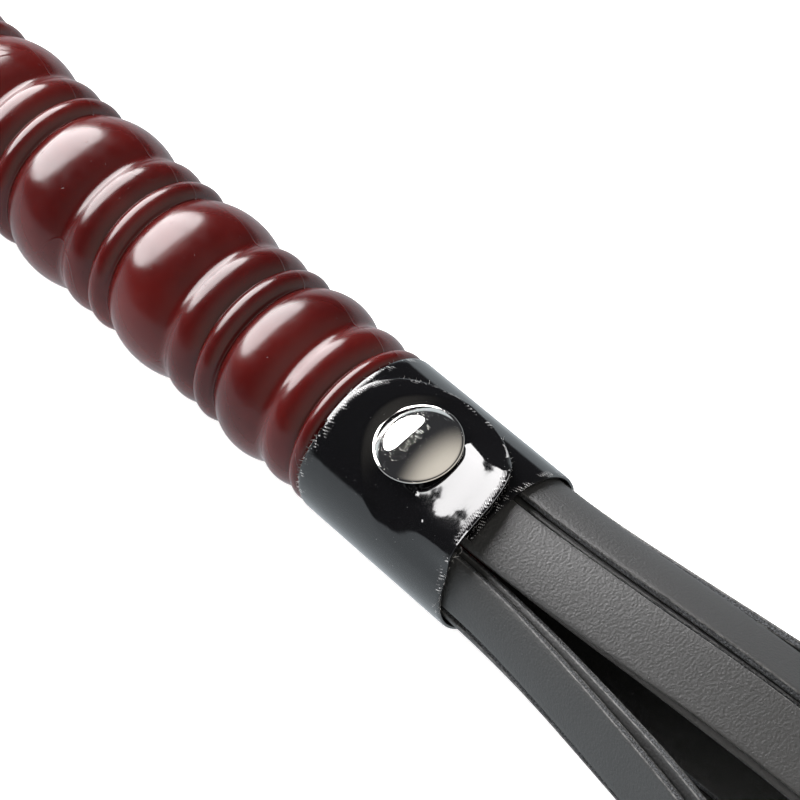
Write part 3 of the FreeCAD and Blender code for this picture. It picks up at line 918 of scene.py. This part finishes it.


# %% [markdown]
# Each strap is one piece from its clamped end under the band to its tip, as the real strip is.

# %% Lay the straps
FINE = LOOP_PITCH / 4
STATIONS = np.concatenate([
    np.linspace(-ROOT_LENGTH, -2 * MM, 14),
    np.arange(-1.8 * MM, 88 * MM, FINE),
    np.linspace(88.2 * MM, FALL_REACH, 150),
])
AROUND = section_map()
strap_dice = np.random.default_rng(11)


def lay_strap(place, ring):
    """One strap as a lofted strip, bent to the ring's curve at the mouth."""
    name = f"{ring}_fall_{place + 1}"
    ripple = strap_dice.uniform(0, 2 * math.pi, 3)
    rings = []
    for along in STATIONS:
        waves = [math.sin(along / length + start) for length, start in zip((9 * MM, 23 * MM, 4 * MM), ripple)]
        wobble = 0.03 * MM * sum(waves) * float(ease(along / (8 * MM)))
        rings.append(strap_ring(place, ring, along, wobble))
    strap = loft(name + "_strap", rings, STATIONS / MM, AROUND)
    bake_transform(strap)
    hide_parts(name, f"{ring}_fall_roots")
    return strap


straps = [lay_strap(place, ring) for place in range(FALLS) for ring in ("outer", "inner")]
print("straps:", len(straps), "faces each:", len(straps[0].data.polygons))

# %% [markdown]
# The strap material is leathercloth: a thin black skin with a pebble grain on a knitted backing. The
# grain is a cell pattern about half a millimetre across, softened and mixed with a noise. Along the
# rims of the cut edges a thin pale line is painted as a highlight, broken up by a noise, and between the
# skins the grey knit shows.


# %% The leathercloth
def leathercloth():
    material, tree, shader = new_material("leathercloth")
    surface = add(tree, "UVMap", uv_map="map").outputs[0]
    parts = add(tree, "SeparateXYZ", {0: surface})
    around = parts.outputs[1]
    edges = [(AROUND[6], AROUND[12] + 0.03), (AROUND[16], AROUND[22] + 0.03)]

    def between(low, high, soft):
        """1 where the map is between two distances round the section."""
        up = ramp(tree, around, low - soft, low + soft)
        down = ramp(tree, around, high - soft, high + soft, 1.0, 0.0)
        return maths(tree, "MULTIPLY", up, down)

    knit = maths(tree, "MAXIMUM", *[between(low + 0.30, high - 0.30, 0.06) for low, high in edges])
    rim_bands = [between(low + 0.02, low + 0.30, 0.07) for low, high in edges]
    rim_bands += [between(high - 0.30, high - 0.02, 0.07) for low, high in edges]
    low_rims, high_rims = maths(tree, "MAXIMUM", *rim_bands[:2]), maths(tree, "MAXIMUM", *rim_bands[2:])
    rims = maths(tree, "MAXIMUM", low_rims, high_rims)
    # Painted highlight: a pale line along the rims of the cut edges, broken up by a noise, stands in for the
    # light that the edges catch.
    painted_rim_highlight = maths(tree, "MULTIPLY", rims, ramp(tree, noise(tree, surface, 0.7, 3.0), 0.36, 0.62))
    cells = add(tree, "TexVoronoi", {"Vector": surface, "Scale": 2.6, "Smoothness": 0.8}, feature="SMOOTH_F1")
    softer = maths(tree, "MULTIPLY", noise(tree, surface, 2.3, 1.0), 0.8)
    pebble = maths(tree, "ADD", cells.outputs["Distance"], softer)
    fine = noise(tree, surface, 5.0, 4.0)
    slow = noise(tree, surface, 0.16, 3.0)
    skin = blend_colours(tree, slow, (0.0060, 0.0066, 0.0070, 1), (0.0095, 0.0102, 0.0106, 1))
    skin = blend_colours(tree, painted_rim_highlight, skin, (0.10, 0.10, 0.098, 1))
    loops = ramp(tree, noise(tree, surface, 3.2, 3.0), 0.4, 0.66)
    yarn = blend_colours(tree, loops, (0.010, 0.011, 0.013, 1), (0.090, 0.098, 0.108, 1))
    colour = blend_colours(tree, knit, skin, yarn)
    gloss = maths(tree, "ADD", ramp(tree, fine, 0.3, 0.7, 0.58, 0.66), maths(tree, "MULTIPLY", knit, 0.4))
    normal = bump(tree, pebble, -0.00005)
    normal = bump(tree, fine, 0.00001, normal)
    normal = bump(tree, maths(tree, "MULTIPLY", noise(tree, surface, 2.6, 3.0), knit), 0.00025, normal)
    fill(tree, shader, {"Base Color": colour, "Roughness": gloss, "Normal": normal})
    fill(tree, shader, {"Specular IOR Level": 1.0, "IOR": 1.65})
    return material


leather = leathercloth()
for strap in straps:
    dress(strap, leather)
print("material:", leather.name)

# %% [markdown]
# ## The bindings
# Two windings of thread hold the straps to the spigot, one over each ring of straps. A plain sleeve
# would do for collision, but a winding is a long thread laid turn against turn, so each is a helix.

# %% Wind the bindings
THREAD = 0.3 * MM


def wind(node):
    """A close helix of thread in the space of a binding's CAD sleeve."""
    low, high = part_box(node)
    radius = high.z - THREAD / 2
    length = high.x - low.x - THREAD
    turns = int(length / (THREAD * 1.02))
    angle = np.linspace(0, turns * 2 * math.pi, turns * 40)
    path = np.stack([
        low.x + THREAD / 2 + length * angle / angle[-1],
        radius * np.sin(angle),
        radius * np.cos(angle),
    ], axis=1)
    winding = tubes(node + "_thread", [path], [THREAD / 2 * 0.98], 6)
    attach(winding, BODY_OF[node])
    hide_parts(node)
    print(node, "turns:", turns)
    return winding


windings = [wind("inner_binding"), wind("outer_binding")]


def waxed_thread():
    material, tree, shader = new_material("waxed_thread")
    place = add(tree, "TexCoord").outputs["Object"]
    twist = noise(tree, place, 2200.0, 2.0)
    colour = blend_colours(tree, twist, (0.018, 0.017, 0.016, 1), (0.060, 0.055, 0.050, 1))
    fill(tree, shader, {"Base Color": colour, "Roughness": ramp(tree, twist, 0.3, 0.7, 0.45, 0.75)})
    fill(tree, shader, {"Normal": bump(tree, twist, 0.00004)})
    return material


thread = waxed_thread()
for winding in windings:
    dress(winding, thread)

# %% [markdown]
# The clamped ends and the other CAD solids that our own pieces stand for aren't shown, but a viewer
# may turn them on, so they get the matching finish too.

# %% Finish the hidden CAD solids
for node, thing in frame["nodes"].items():
    if "fall" in node:
        dress(thing, leather)
for node, finish in (("handle", plastic), ("collar_band", lacquer), ("rivet_cap", nickel)):
    dress(frame["nodes"][node], finish)
for node in ("inner_binding", "outer_binding"):
    dress(frame["nodes"][node], thread)

# %% [markdown]
# ## Table and light
# The whip lies on a bright white table. One big oval softbox stands low behind the butt: it draws
# the long highlights on the beads. The room above is dark, so the lacquer stays black, and paler
# towards the straps. A broad top light, which reflections don't show, lifts the colours. The table's
# own mirror image would flood the gloss, so reflections see a plain grey where the table is.


# %% Lay the table
def lay_table():
    size = 6.0
    mesh = bpy.data.meshes.new("table")
    corners = [(-size, -size, TABLE), (size, -size, TABLE), (size, size, TABLE), (-size, size, TABLE)]
    mesh.from_pydata(corners, [], [(0, 1, 2, 3)])
    table = bpy.data.objects.new("table", mesh)
    bpy.context.scene.collection.objects.link(table)
    material, tree, shader = new_material("white_table")
    place = add(tree, "TexCoord").outputs["Object"]
    tone = blend_colours(tree, noise(tree, place, 3.0), (0.86, 0.86, 0.86, 1), (0.88, 0.88, 0.88, 1))
    fill(tree, shader, {"Base Color": tone, "Roughness": 0.9, "Specular IOR Level": 0.1})
    fill(tree, shader, {"Emission Color": (1, 1, 1, 1), "Emission Strength": 0.68})
    dress(table, material)
    table.visible_glossy = False
    return table


table = lay_table()

# %% [markdown]
# Each light points at the rivet from a direction, so moving one is a matter of a few numbers.


# %% Hang the lights
def hang_light(name, direction, distance, size, radiance, shape="ELLIPSE", reflects=True, colour=(1, 1, 1)):
    """An area light that looks at the rivet. Radiance is how bright its face is."""
    data = bpy.data.lights.new(name, "AREA")
    data.shape, data.size, data.size_y = shape, *size
    area = size[0] * size[1] * (math.pi / 4 if shape == "ELLIPSE" else 1)
    data.energy = radiance * math.pi * area
    data.color = colour
    light = bpy.data.objects.new(name, data)
    bpy.context.scene.collection.objects.link(light)
    away = Vector(direction).normalized()
    light.location = Vector((RIVET_X, 0, 0)) + away * distance
    light.rotation_mode = "QUATERNION"
    light.rotation_quaternion = away.to_track_quat("Z", "Y")
    light.visible_camera = False
    light.visible_glossy = reflects
    return light


hang_light("softbox", (-0.85, 0.07, 0.48), 0.62, (0.84, 0.54), 13.0, colour=(1.0, 0.985, 0.99))
hang_light("top_light", (0.2, -0.3, 1.0), 1.4, (1.4, 1.4), 0.65, shape="RECTANGLE", reflects=False)


def room():
    """A dark room, paler and warmer towards the straps, over a grey table. The camera sees plain white."""
    world = bpy.data.worlds.new("room")
    bpy.context.scene.world = world
    world.use_nodes = True
    tree = world.node_tree
    background = tree.nodes["Background"]
    way = add(tree, "SeparateXYZ", {0: add(tree, "TexCoord").outputs["Generated"]}).outputs
    walls = ramp(tree, way[0], -0.25, 0.75)
    tone = blend_colours(tree, walls, (0.035, 0.036, 0.040, 1), (0.74, 0.70, 0.63, 1))
    tone = blend_colours(tree, ramp(tree, way[2], -0.10, 0.0, 1.0, 0.0), tone, (0.68, 0.74, 0.78, 1))
    seen = add(tree, "LightPath").outputs["Is Camera Ray"]
    fill(tree, background, {"Color": blend_colours(tree, seen, tone, (1, 1, 1, 1))})


room()
print("lights:", len(bpy.data.lights))
